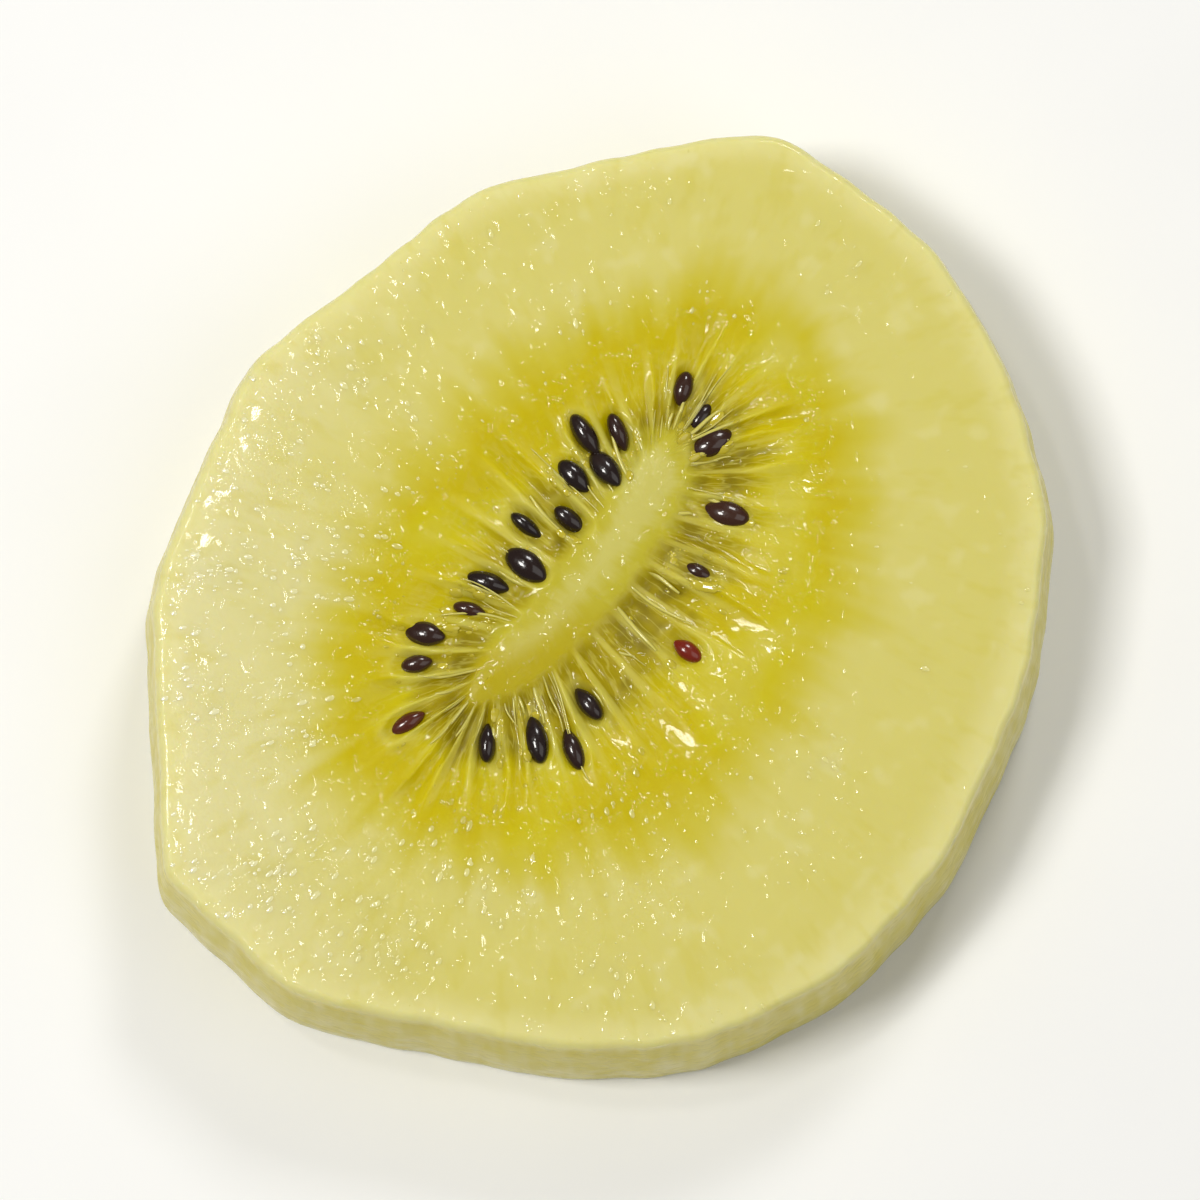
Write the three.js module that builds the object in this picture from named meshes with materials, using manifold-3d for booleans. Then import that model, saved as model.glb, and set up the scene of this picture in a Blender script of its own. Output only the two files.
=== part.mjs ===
// A peeled slice of golden kiwi fruit, lying on one of its two cut faces.
// Millimetres, +Z up. The origin is on the table, under the middle of the slice.
//
// Every point of a cut face is found from two numbers: a bearing round the core, and how far out
// it lies from the core's line (0) to the peeled rim (1). The pale rays, the seed pockets between
// them and the seeds all follow those two numbers.

import * as THREE from "three";
import { mergeVertices } from "three/addons/utils/BufferGeometryUtils.js";
import Module from "manifold-3d";

const wasm = await Module();
wasm.setup();

// Slice
const thickness = 9;
const wedge = 0.5; // a hand-cut slice: this much thicker at its far side than in the middle
const wedgeSpan = 24; // how far that side is from the middle
const rimTaper = 0.9; // the fruit narrows upwards, so the upper rim is this much smaller
const wallBelly = 0.25; // the wall swells by this much halfway up
const edgeRound = 0.3; // the cut edges are a little soft

// Each stroke of the peeling knife left one flat on the wall: [the bearing it faces, its distance
// from the slice's middle].
const knifeFlats = [
  [-7, 22.8],
  [15, 23.7],
  [31, 24.3],
  [54, 25.1],
  [84, 24.9],
  [102, 22.3],
  [128, 20.9],
  [157, 21.8],
  [183, 23.5],
  [227, 26.5],
  [258, 24.2],
  [273, 24.1],
  [296, 23.7],
  [318, 22.9],
  [336, 22.3],
];
const cornerSoftness = 0.35; // how far the ridge between two flats is worn down
const facingLimit = 0.3; // cosine: a flat that faces further aside than this doesn't meet a ray

// Core
const coreMiddle = new THREE.Vector2(-1.2, 1.2);
const coreBearing = 52;
const coreHalfLength = 7.4;
const coreBow = 0.9; // the core's line bends sideways by this much at its middle
const coreRise = 0.12;

// Zones of the cut face, as shares of the way from the core's line to the rim
const coreEdge = 0.07;
const pocketsOpen = 0.12;
const pocketsClose = 0.28;
const raysEnd = 0.44;
const swellFull = 0.6; // from here
const swellFalls = 0.85; // to here the outer flesh is at its highest

// Seed pockets and the rays between them
const pocketCount = 36;
const pocketDepth = 0.45;
const fleshSwell = 0.12; // the outer flesh stands this much proud on the upper face
const lowerHollow = 0.1; // the core and the rays stay this clear of the table

// Seeds, as half sizes: along the ray, across it, and in height
const seedHalf = new THREE.Vector3(1.12, 0.68, 0.5);
const seedSides = 8;
const seedRings = 5;
const seedStandsOut = 0.32; // above the plane of the cut
const seedLean = 8; // largest random turn away from the ray, in degrees
const seedStray = 0.25; // largest random shift along the ray, in mm

// The pockets that show a seed on the upper face, in three rows: how far out, and which pockets
const upperSeedRows = [
  { out: 0.145, pockets: [0, 6, 8, 10, 34] },
  { out: 0.2, pockets: [2, 5, 7, 9, 11, 12, 20, 22, 24, 29, 31] },
  { out: 0.265, pockets: [6, 13, 14, 16, 23, 27] },
];
const lowerSeedOut = [0.15, 0.25];
const lowerSeedChance = 0.55; // of each pocket
const lowerSeedLift = 0.12; // clear of the table
const drawSeed = 7;

// How finely the surfaces are divided
const spokes = 2 * pocketCount;
const upperRings = [0, 0.04, 0.07, 0.1, 0.14, 0.18, 0.22, 0.27, 0.32, 0.38, 0.44, 0.6, 0.78, 0.93, 1];
const wallLevels = [0.05, 0.35, 0.68, 0.95];
const lowerRings = [1, 0.9, 0.7, 0.5, 0.4, 0.33, 0.26, 0.2, 0.14, 0.1, 0.07, 0];

const { degToRad, smoothstep, lerp } = THREE.MathUtils;

// Numbers from 0 to 1 that are the same in every run.
function seededDraw(seed) {
  let state = seed;
  return () => {
    state = (Math.imul(state, 1664525) + 1013904223) >>> 0;
    return state / 2 ** 32;
  };
}

// Distance from the slice's middle to the peeled rim: the nearest flat wins, and a soft minimum
// wears the ridges between flats.
function rimDistance(bearing) {
  let sum = 0;
  for (const [facing, distance] of knifeFlats) {
    const turn = Math.cos(bearing - degToRad(facing));
    if (turn > facingLimit) sum += Math.exp(-distance / turn / cornerSoftness);
  }
  return -cornerSoftness * Math.log(sum);
}

// The point of the core's line that the ray at this bearing starts from.
function rayFoot(bearing) {
  const along = Math.cos(bearing - degToRad(coreBearing));
  const axis = new THREE.Vector2(Math.cos(degToRad(coreBearing)), Math.sin(degToRad(coreBearing)));
  const side = new THREE.Vector2(axis.y, -axis.x);
  return coreMiddle
    .clone()
    .addScaledVector(axis, coreHalfLength * along)
    .addScaledVector(side, coreBow * (1 - along * along));
}

function rayEnd(bearing, inset) {
  const reach = rimDistance(bearing) - inset;
  return new THREE.Vector2(reach * Math.cos(bearing), reach * Math.sin(bearing));
}

function onRay(bearing, out, inset) {
  return rayFoot(bearing).lerp(rayEnd(bearing, inset), out);
}

// 1 at the middle of a pocket, 0 on the rays beside it.
function pocketShare(bearing, out) {
  const acrossPocket = 0.5 + 0.5 * Math.cos(pocketCount * (bearing - degToRad(coreBearing)));
  const opening = smoothstep(out, coreEdge, pocketsOpen);
  const closing = 1 - smoothstep(out, pocketsClose, raysEnd);
  return acrossPocket * opening * closing;
}

function upperPoint(bearing, out) {
  const at = onRay(bearing, out, rimTaper + (out === 1 ? edgeRound : 0));
  const core = coreRise * (1 - smoothstep(out, 0, pocketsOpen));
  const rising = smoothstep(out, pocketsClose, swellFull);
  const falling = 1 - smoothstep(out, swellFalls, 1);
  const relief = core + fleshSwell * rising * falling - pocketDepth * pocketShare(bearing, out);
  return new THREE.Vector3(at.x, at.y, upperPlane(at) + relief);
}

// Height of the upper cut, before any relief.
function upperPlane(at) {
  return thickness + (wedge * at.y) / wedgeSpan;
}

// The lower face stands on its outer flesh. The core and the pockets stay clear of the table.
function lowerPoint(bearing, out) {
  const at = onRay(bearing, out, out === 1 ? edgeRound : 0);
  const hollow = lowerHollow * (1 - smoothstep(out, pocketsClose, raysEnd));
  return new THREE.Vector3(at.x, at.y, hollow + pocketDepth * pocketShare(bearing, out));
}

function wallPoint(bearing, level) {
  const inset = rimTaper * (1 - level) - wallBelly * Math.sin(Math.PI * level);
  const at = rayEnd(bearing, inset);
  return new THREE.Vector3(at.x, at.y, lerp(upperPlane(at), 0, level));
}

// All rings of the skin, from the core's line on the upper face, over the rim and down the wall,
// to the core's line on the lower face.
function skinRings() {
  const ring = (pointAt) =>
    Array.from({ length: spokes }, (_, i) =>
      pointAt(degToRad(coreBearing) + (2 * Math.PI * i) / spokes),
    );
  return [
    ...upperRings.map((out) => ring((bearing) => upperPoint(bearing, out))),
    ...wallLevels.map((level) => ring((bearing) => wallPoint(bearing, level))),
    ...lowerRings.map((out) => ring((bearing) => lowerPoint(bearing, out))),
  ];
}

function skinGeometry() {
  const rings = skinRings();
  const corners = rings.flat().flatMap((p) => [p.x, p.y, p.z]);
  const faces = [];
  for (let r = 0; r + 1 < rings.length; r++) {
    for (let i = 0; i < spokes; i++) {
      const next = (i + 1) % spokes;
      const [a, b] = [r * spokes + i, r * spokes + next];
      const [c, d] = [a + spokes, b + spokes];
      faces.push(a, c, b, b, c, d);
    }
  }
  const geometry = new THREE.BufferGeometry();
  geometry.setAttribute("position", new THREE.Float32BufferAttribute(corners, 3));
  geometry.setIndex(faces);
  return geometry;
}

// A seed as a small ellipsoid, lying in its pocket with its long way along the ray.
function seedGeometry(at, height, bearing, lean) {
  const along = rayEnd(bearing, 0).sub(rayFoot(bearing));
  return new THREE.SphereGeometry(1, seedSides, seedRings)
    .scale(seedHalf.x, seedHalf.y, seedHalf.z)
    .rotateZ(Math.atan2(along.y, along.x) + lean)
    .translate(at.x, at.y, height);
}

function seedGeometries() {
  const draw = seededDraw(drawSeed);
  const spread = (most) => (2 * draw() - 1) * most;
  const seeds = [];
  const place = (pocket, out, upper) => {
    const bearing = degToRad(coreBearing) + (2 * Math.PI * pocket) / pocketCount;
    const reach = rimDistance(bearing);
    const at = onRay(bearing, out + spread(seedStray) / reach, rimTaper / 2);
    const height = upper ? upperPlane(at) + seedStandsOut - seedHalf.z : seedHalf.z + lowerSeedLift;
    seeds.push(seedGeometry(at, height, bearing, degToRad(spread(seedLean))));
  };
  for (const { out, pockets } of upperSeedRows) {
    for (const pocket of pockets) place(pocket, out, true);
  }
  for (let pocket = 0; pocket < pocketCount; pocket++) {
    if (draw() < lowerSeedChance) {
      place(pocket, lerp(...lowerSeedOut, draw()), false);
    }
  }
  return seeds;
}

// Closed geometry as a solid, with its doubled corners merged.
function solidOf(geometry) {
  const bare = new THREE.BufferGeometry();
  bare.setAttribute("position", geometry.getAttribute("position"));
  bare.setIndex(geometry.getIndex());
  const merged = mergeVertices(bare, 1e-3);
  const index = Array.from(merged.index.array);
  const triVerts = [];
  for (let i = 0; i < index.length; i += 3) {
    const [a, b, c] = index.slice(i, i + 3);
    if (a !== b && b !== c && c !== a) triVerts.push(a, b, c);
  }
  return new wasm.Manifold(
    new wasm.Mesh({
      numProp: 3,
      vertProperties: merged.attributes.position.array,
      triVerts: new Uint32Array(triVerts),
    }),
  );
}

function geometryOf(solid) {
  const mesh = solid.getMesh();
  const geometry = new THREE.BufferGeometry();
  geometry.setAttribute("position", new THREE.BufferAttribute(mesh.vertProperties, 3));
  geometry.setIndex(new THREE.BufferAttribute(mesh.triVerts, 1));
  geometry.computeVertexNormals();
  return geometry;
}

function sliceGeometry() {
  let solid = solidOf(skinGeometry());
  for (const seed of seedGeometries()) solid = solid.add(solidOf(seed));
  const geometry = geometryOf(solid);
  geometry.computeBoundingBox();
  const middle = geometry.boundingBox.getCenter(new THREE.Vector3());
  return geometry.translate(-middle.x, -middle.y, 0);
}

const flesh = new THREE.MeshStandardMaterial({ color: 0xe0d478, roughness: 0.35, metalness: 0 });

const slice = new THREE.Mesh(sliceGeometry(), flesh);
slice.name = "kiwi_slice";

const part = new THREE.Group();
part.add(slice);

export default part;
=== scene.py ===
import math

import bpy
import numpy as np
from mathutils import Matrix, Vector


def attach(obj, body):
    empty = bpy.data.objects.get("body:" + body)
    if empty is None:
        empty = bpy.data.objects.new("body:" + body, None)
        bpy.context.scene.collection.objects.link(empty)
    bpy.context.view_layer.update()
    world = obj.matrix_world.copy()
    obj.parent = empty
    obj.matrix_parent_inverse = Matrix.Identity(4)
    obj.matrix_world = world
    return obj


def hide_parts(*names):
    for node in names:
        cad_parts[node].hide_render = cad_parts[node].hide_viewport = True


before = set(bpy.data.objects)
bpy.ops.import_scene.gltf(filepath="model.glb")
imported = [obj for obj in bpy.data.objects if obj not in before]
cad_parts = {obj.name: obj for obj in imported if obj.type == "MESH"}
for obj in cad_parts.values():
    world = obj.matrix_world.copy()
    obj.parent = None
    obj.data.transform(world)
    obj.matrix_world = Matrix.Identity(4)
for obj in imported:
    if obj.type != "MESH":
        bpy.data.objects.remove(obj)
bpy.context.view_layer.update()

mm = 0.001
fullTurn = 2 * math.pi


def linear(r, g, b):
    # screen colour, 0 to 255, as the linear colour that sockets take
    def one(value):
        value = value / 255
        return value / 12.92 if value <= 0.04045 else ((value + 0.055) / 1.055) ** 2.4

    return (one(r), one(g), one(b), 1.0)


# Node helpers, for materials and Geometry Nodes alike

def plug(tree, socket, value):
    # another node's output is linked, and a plain value is set
    if isinstance(value, bpy.types.NodeSocket):
        tree.links.new(value, socket)
    else:
        socket.default_value = value


def node(tree, kind, wires=None, **settings):
    made = tree.nodes.new(kind)
    for name, value in settings.items():
        setattr(made, name, value)
    for key, value in (wires or {}).items():
        plug(tree, made.inputs[key], value)
    return made


def maths(tree, operation, first, second=0.0):
    return node(tree, "ShaderNodeMath", {0: first, 1: second}, operation=operation).outputs[0]


def plus(tree, first, second):
    return maths(tree, "ADD", first, second)


def minus(tree, first, second):
    return maths(tree, "SUBTRACT", first, second)


def times(tree, first, second):
    return maths(tree, "MULTIPLY", first, second)


def scaled(tree, vector, x, y, z):
    wires = {0: vector, 1: (x, y, z)}
    return node(tree, "ShaderNodeVectorMath", wires, operation="MULTIPLY").outputs[0]


def split(tree, vector):
    return node(tree, "ShaderNodeSeparateXYZ", {0: vector}).outputs


def joined(tree, x, y, z):
    return node(tree, "ShaderNodeCombineXYZ", {0: x, 1: y, 2: z}).outputs[0]


def softStep(tree, value, low, high, toLow=0.0, toHigh=1.0):
    wires = {"Value": value, "From Min": low, "From Max": high, "To Min": toLow, "To Max": toHigh}
    return node(tree, "ShaderNodeMapRange", wires, interpolation_type="SMOOTHSTEP").outputs["Result"]


def noise(tree, vector, scale, detail=2.0, roughness=0.5):
    wires = {"Vector": vector, "Scale": scale, "Detail": detail, "Roughness": roughness}
    return node(tree, "ShaderNodeTexNoise", wires).outputs[0]


def blended(tree, share, first, second):
    mix = node(tree, "ShaderNodeMix", data_type="RGBA", clamp_factor=True)
    plug(tree, mix.inputs["Factor"], share)
    plug(tree, mix.inputs[6], first)
    plug(tree, mix.inputs[7], second)
    return mix.outputs[2]


def ramp(tree, value, stops):
    made = node(tree, "ShaderNodeValToRGB", {"Fac": value})
    bar = made.color_ramp.elements
    while len(bar) < len(stops):
        bar.new(0.5)
    for element, (place, colour) in zip(bar, stops):
        element.position = place
        element.color = colour
    return made.outputs["Color"]


# Material helpers

def newMaterial(name):
    material = bpy.data.materials.new(name)
    material.use_nodes = True
    return material, material.node_tree, material.node_tree.nodes["Principled BSDF"]


def meshAttribute(tree, name, output="Fac"):
    return node(tree, "ShaderNodeAttribute", attribute_name=name).outputs[output]


def objectPlace(tree):
    return node(tree, "ShaderNodeTexCoord").outputs["Object"]


def finish(shader, values):
    for label, value in values.items():
        shader.inputs[label].default_value = value


# Geometry Nodes helpers

def newTree(name, inputs):
    # every tree also takes a material
    tree = bpy.data.node_groups.new(name, "GeometryNodeTree")
    tree.interface.new_socket("Geometry", in_out="INPUT", socket_type="NodeSocketGeometry")
    for label, value in inputs.items():
        kind = "NodeSocketInt" if isinstance(value, int) else "NodeSocketFloat"
        tree.interface.new_socket(label, in_out="INPUT", socket_type=kind).default_value = value
    tree.interface.new_socket("Material", in_out="INPUT", socket_type="NodeSocketMaterial")
    tree.interface.new_socket("Geometry", in_out="OUTPUT", socket_type="NodeSocketGeometry")
    return tree, node(tree, "NodeGroupInput").outputs


def finishTree(tree, source, geometry):
    whole = node(tree, "GeometryNodeRealizeInstances", {"Geometry": geometry})
    smooth = node(tree, "GeometryNodeSetShadeSmooth", {"Geometry": whole.outputs[0]})
    wires = {"Geometry": smooth.outputs[0], "Material": source["Material"]}
    painted = node(tree, "GeometryNodeSetMaterial", wires)
    node(tree, "NodeGroupOutput", {"Geometry": painted.outputs[0]})


def grownFrom(base, tree, values, name):
    # runs the tree on the base object and keeps the result as a plain mesh
    modifier = base.modifiers.new(name, "NODES")
    modifier.node_group = tree
    for label, value in values.items():
        modifier[tree.interface.items_tree[label].identifier] = value
    evaluated = base.evaluated_get(bpy.context.evaluated_depsgraph_get())
    mesh = bpy.data.meshes.new_from_object(evaluated)
    base.modifiers.remove(modifier)
    mesh.name = name
    piece = bpy.data.objects.new(name, mesh)
    bpy.context.scene.collection.objects.link(piece)
    return piece


def named(tree, attribute, kind="FLOAT"):
    return node(tree, "GeometryNodeInputNamedAttribute", {"Name": attribute}, data_type=kind).outputs[0]


def position(tree):
    return node(tree, "GeometryNodeInputPosition").outputs[0]


def newObject(name, points, faces=(), edges=()):
    mesh = bpy.data.meshes.new(name)
    mesh.from_pydata(points, edges, faces)
    thing = bpy.data.objects.new(name, mesh)
    bpy.context.scene.collection.objects.link(thing)
    return thing


def addAttribute(thing, name, values, kind="FLOAT"):
    layer = thing.data.attributes.new(name, kind, "POINT")
    field = "vector" if kind == "FLOAT_VECTOR" else "value"
    layer.data.foreach_set(field, np.asarray(values, dtype=np.float32).ravel())


# Camera

viewing = {
    "elevation": 81,  # degrees above the table: the photograph looks almost straight down
    "distance": 0.34,
    "lens": 200,
    "aim": (0.0, 0.0, 0.005),
    "clipStart": 0.01,
}


def makeCamera():
    data = bpy.data.cameras.new("camera")
    data.lens = viewing["lens"]
    data.clip_start = viewing["clipStart"]
    camera = bpy.data.objects.new("camera", data)
    bpy.context.scene.collection.objects.link(camera)
    up = math.radians(viewing["elevation"])
    back = Vector((0, -math.cos(up), math.sin(up)))
    camera.location = Vector(viewing["aim"]) + back * viewing["distance"]
    camera.rotation_euler = (-back).to_track_quat("-Z", "Y").to_euler()
    bpy.context.scene.camera = camera


makeCamera()
print("camera made")


# Slice shape. Lengths are millimetres; "out" is the share of the way from the core's line to the rim.

kiwi = {
    "thickness": 9.0,
    "wedge": 0.5,
    "wedgeSpan": 24.0,
    "rimTaper": 0.9,
    "wallBelly": 0.25,
    "edgeRound": 0.4,
    "edgeStart": 0.9,  # out: from here a cut face draws in towards its rounded edge
    "knifeFlats": [(-7, 22.8), (15, 23.7), (31, 24.3), (54, 25.1), (84, 24.9), (102, 22.3),
                   (128, 20.9), (157, 21.8), (183, 23.5), (227, 26.5), (258, 24.2), (273, 24.1),
                   (296, 23.7), (318, 22.9), (336, 22.3)],
    "cornerSoftness": 0.35,
    "facingLimit": 0.3,  # cosine: a flat that faces further aside doesn't meet a ray
    "edgeWaver": 0.07,  # unevenness of the outline
    "edgeWaves": (9, 14, 23, 31, 47, 58),
    "edgeWaveHeights": (0.4, 1),
    "drawEdge": 3,
    "coreMiddle": (-1.2, 1.2),
    "coreBearing": 52,
    "coreHalfLength": 7.4,
    "coreBow": 0.9,
    "coreRise": 0.12,
    "lowerHollow": 0.1,
    "coreEdge": 0.07,
    "pocketsOpen": 0.12,
    "pocketsClose": 0.28,
    "raysEnd": 0.44,
    "pocketCount": 36,
    "pocketDepth": 0.45,
    "fleshSwell": 0.12,
    "swellFull": 0.6,
    "swellFalls": 0.85,
}

# The pockets and the rays between them differ from one to the next, within these limits.
unevenRays = {
    "drift": 0.26,  # how far a ray wanders aside, in pocket widths
    "driftWaves": (5, 9, 14, 22),
    "driftHeights": (0.5, 1),
    "driftSlant": (5, 14),
    "drawDrift": 8,
    "depths": (0.55, 1.1),  # shares of the pocket depth
    "ends": (-0.05, 0.05),
    "powers": (0.35, 0.8),  # smaller is a wider pocket with thinner walls
    "wallSinks": (-0.5, 0.6),  # above 0 a wall has partly sunk
    "drawUpper": 11,
    "drawLower": 12,
}

seeds = {
    "halfLength": 1.12,
    "halfWidth": 0.68,
    "halfHeight": 0.5,
    "standsOut": 0.32,
    "lean": 8,
    "stray": 0.25,
    "upperRows": [(0.145, [0, 6, 8, 10, 34]),
                  (0.2, [2, 5, 7, 9, 11, 12, 20, 22, 24, 29, 31]),
                  (0.265, [6, 13, 14, 16, 23, 27])],
    "lowerOut": (0.15, 0.25),
    "lowerChance": 0.55,
    "lowerLift": 0.12,
    "drawSeed": 7,
    "tipNarrowing": 0.34,  # towards the core a seed comes to a blunt tip
    "segments": 28,
    "rings": 18,
}

coreTurn = math.radians(kiwi["coreBearing"])
pocketTurn = fullTurn / kiwi["pocketCount"]


def softened(value, low, high):
    share = np.clip((value - low) / (high - low), 0, 1)
    return share * share * (3 - 2 * share)


def edgeWaver(bearing):
    # a closed uneven line round the slice, from about -1 to 1
    draw = np.random.default_rng(kiwi["drawEdge"])
    waves = kiwi["edgeWaves"]
    total = np.zeros_like(bearing)
    for count in waves:
        total += draw.uniform(*kiwi["edgeWaveHeights"]) * np.cos(count * bearing + draw.uniform(0, fullTurn))
    return total / math.sqrt(len(waves))


def rimDistance(bearing):
    total = np.zeros_like(bearing)
    for facing, distance in kiwi["knifeFlats"]:
        turn = np.cos(bearing - math.radians(facing))
        faced = turn > kiwi["facingLimit"]
        total[faced] += np.exp(-distance / turn[faced] / kiwi["cornerSoftness"])
    rim = -kiwi["cornerSoftness"] * np.log(total)
    return rim + kiwi["edgeWaver"] * edgeWaver(bearing)


def rayFoot(bearing):
    along = np.cos(bearing - coreTurn)
    axisX, axisY = math.cos(coreTurn), math.sin(coreTurn)
    reach = kiwi["coreHalfLength"] * along
    bow = kiwi["coreBow"] * (1 - along * along)
    middleX, middleY = kiwi["coreMiddle"]
    return middleX + axisX * reach + axisY * bow, middleY + axisY * reach - axisX * bow


def rayEnd(bearing, inset):
    reach = rimDistance(bearing) - inset
    return reach * np.cos(bearing), reach * np.sin(bearing)


def onRay(bearing, out, inset):
    footX, footY = rayFoot(bearing)
    endX, endY = rayEnd(bearing, inset)
    return footX + (endX - footX) * out, footY + (endY - footY) * out


def upperPlane(y):
    return kiwi["thickness"] + kiwi["wedge"] * y / kiwi["wedgeSpan"]


def middleShiftOf(steps=720):
    # the CAD part is centred on its own box, so everything laid out by bearing moves with it
    outline = coreTurn + fullTurn * np.arange(steps) / steps
    x, y = rayEnd(outline, -kiwi["wallBelly"] / 2)
    return (-(x.max() + x.min()) / 2 * mm, -(y.max() + y.min()) / 2 * mm)


middleShift = middleShiftOf()


def shifted(x, y, z):
    return (x * mm + middleShift[0], y * mm + middleShift[1], z * mm)


# Seeds lie where the CAD part has them, found by the same seeded draws.

def seedDraws(state):
    multiplier, increment, modulus = 1664525, 1013904223, 2 ** 32
    while True:
        state = (state * multiplier + increment) % modulus
        yield state / modulus


def placeSeeds():
    draws = seedDraws(seeds["drawSeed"])
    placed = []

    def place(pocket, out, upper):
        bearing = np.array([coreTurn + pocket * pocketTurn])
        reach = rimDistance(bearing)
        stray = (2 * next(draws) - 1) * seeds["stray"] / reach
        x, y = (float(v[0]) for v in onRay(bearing, out + stray, kiwi["rimTaper"] / 2))
        lean = math.radians((2 * next(draws) - 1) * seeds["lean"])
        footX, footY = (float(v[0]) for v in rayFoot(bearing))
        endX, endY = (float(v[0]) for v in rayEnd(bearing, 0))
        turn = math.atan2(endY - footY, endX - footX) + lean
        if upper:
            z = upperPlane(y) + seeds["standsOut"] - seeds["halfHeight"]
        else:
            z = seeds["halfHeight"] + seeds["lowerLift"]
        placed.append({"x": x, "y": y, "z": z, "turn": turn, "pocket": pocket, "upper": upper})

    for out, pockets in seeds["upperRows"]:
        for pocket in pockets:
            place(pocket, out, True)
    for pocket in range(kiwi["pocketCount"]):
        if next(draws) < seeds["lowerChance"]:
            low, high = seeds["lowerOut"]
            place(pocket, low + (high - low) * next(draws), False)
    return placed


seedPlaces = placeSeeds()


# Flesh: one closed skin of rings, from the core's line on the upper face, over the rim, down the
# wall and back to the core's line underneath.

def rayDrift(bearing, out):
    # the rays aren't quite straight
    draw = np.random.default_rng(unevenRays["drawDrift"])
    total = np.zeros_like(bearing)
    for count in unevenRays["driftWaves"]:
        height = draw.uniform(*unevenRays["driftHeights"])
        slant = draw.uniform(*unevenRays["driftSlant"])
        total += height * np.cos(count * bearing + slant * out + draw.uniform(0, fullTurn))
    return unevenRays["drift"] * pocketTurn * total / 2


def pocketShare(bearing, out, seed):
    # 1 at the middle of a pocket of the usual depth, 0 on the rays beside it
    count = kiwi["pocketCount"]
    draw = np.random.default_rng(seed)
    bearing = bearing + rayDrift(bearing, out)
    depths = draw.uniform(*unevenRays["depths"], count)
    ends = draw.uniform(*unevenRays["ends"], count)
    powers = draw.uniform(*unevenRays["powers"], count)
    wallSinks = draw.uniform(*unevenRays["wallSinks"], count)
    place = (bearing - coreTurn) / pocketTurn
    nearest = np.mod(np.rint(place).astype(int), count)
    wallSunk = np.maximum(wallSinks[np.mod(np.floor(place).astype(int), count)], 0)
    swing = np.cos(count * (bearing - coreTurn))
    across = np.clip(0.5 + 0.5 * swing, 0, 1) ** powers[nearest]
    across = across + (1 - across) * wallSunk
    opening = softened(out, kiwi["coreEdge"], kiwi["pocketsOpen"])
    closing = 1 - softened(out, kiwi["pocketsClose"] + ends[nearest], kiwi["raysEnd"] + ends[nearest])
    return across * opening * closing * depths[nearest]


# The flesh stands up in an uneven rim round each seed and is hollow under it. Places are distances
# from the seed's middle, in seed sizes.
cup = {
    "rimHeight": 0.07,
    "rimAt": 1.35,
    "rimWidth": 0.22,
    "rimWaves": (61, 17, 3),
    "depth": 0.12,
    "floor": (0.7, 1.25),
    "filmAt": 1.2,  # a pale film lies here
    "filmWidth": 0.3,
}


def seedNearness(x, y, upper):
    # distance to the nearest seed, in seed sizes: 1 on its outline
    farAway = 9.0
    nearest = np.full_like(x, farAway)
    for seed in seedPlaces:
        if seed["upper"] == upper:
            dx, dy = x - seed["x"], y - seed["y"]
            along = dx * math.cos(seed["turn"]) + dy * math.sin(seed["turn"])
            across = dy * math.cos(seed["turn"]) - dx * math.sin(seed["turn"])
            size = np.hypot(along / seeds["halfLength"], across / seeds["halfWidth"])
            nearest = np.minimum(nearest, size)
    return nearest


def cupHeight(bearing, near):
    many, few, swing = cup["rimWaves"]
    uneven = 0.5 + 0.5 * np.cos(many * bearing + swing * np.cos(few * bearing))
    rim = cup["rimHeight"] * uneven * np.exp(-((near - cup["rimAt"]) / cup["rimWidth"]) ** 2)
    return rim - cup["depth"] * (1 - softened(near, *cup["floor"]))


def filmShare(near):
    return np.exp(-((near - cup["filmAt"]) / cup["filmWidth"]) ** 2)


def upperRelief(out):
    # the core and the outer flesh stand a little proud of the cut
    core = kiwi["coreRise"] * (1 - softened(out, 0, kiwi["pocketsOpen"]))
    rising = softened(out, kiwi["pocketsClose"], kiwi["swellFull"])
    return core + kiwi["fleshSwell"] * rising * (1 - softened(out, kiwi["swellFalls"], 1))


def upperRing(bearing, out):
    outs = np.full_like(bearing, out)
    drawnIn = kiwi["edgeRound"] * softened(outs, kiwi["edgeStart"], 1)
    x, y = onRay(bearing, outs, kiwi["rimTaper"] + drawnIn)
    near = seedNearness(x, y, True)
    pocket = kiwi["pocketDepth"] * pocketShare(bearing, outs, unevenRays["drawUpper"])
    z = upperPlane(y) + upperRelief(outs) - pocket + cupHeight(bearing, near)
    return x, y, z, outs, np.zeros_like(x), filmShare(near)


def lowerRing(bearing, out):
    outs = np.full_like(bearing, out)
    x, y = onRay(bearing, outs, kiwi["edgeRound"] * softened(outs, kiwi["edgeStart"], 1))
    hollow = kiwi["lowerHollow"] * (1 - softened(outs, kiwi["pocketsClose"], kiwi["raysEnd"]))
    near = seedNearness(x, y, False)
    z = hollow + kiwi["pocketDepth"] * pocketShare(bearing, outs, unevenRays["drawLower"])
    return x, y, z, outs, np.zeros_like(x), filmShare(near)


def wallRing(bearing, level):
    # level 0 is the upper edge and 1 the lower one, with both edges rounded
    rounding = kiwi["edgeRound"]
    fallen = level * kiwi["thickness"]
    fromEdge = min(fallen, kiwi["thickness"] - fallen)
    drawnIn = rounding - math.sqrt(max(0, rounding ** 2 - max(0, rounding - fromEdge) ** 2))
    inset = kiwi["rimTaper"] * (1 - level) - kiwi["wallBelly"] * math.sin(math.pi * level) + drawnIn
    x, y = rayEnd(bearing, inset)
    z = upperPlane(y) * (1 - level)
    rim = np.ones_like(x)
    wall = rim * float(softened(np.array(fromEdge), *skinDivision["wallFades"]))
    return x, y, z, rim, wall, np.zeros_like(x)


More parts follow.
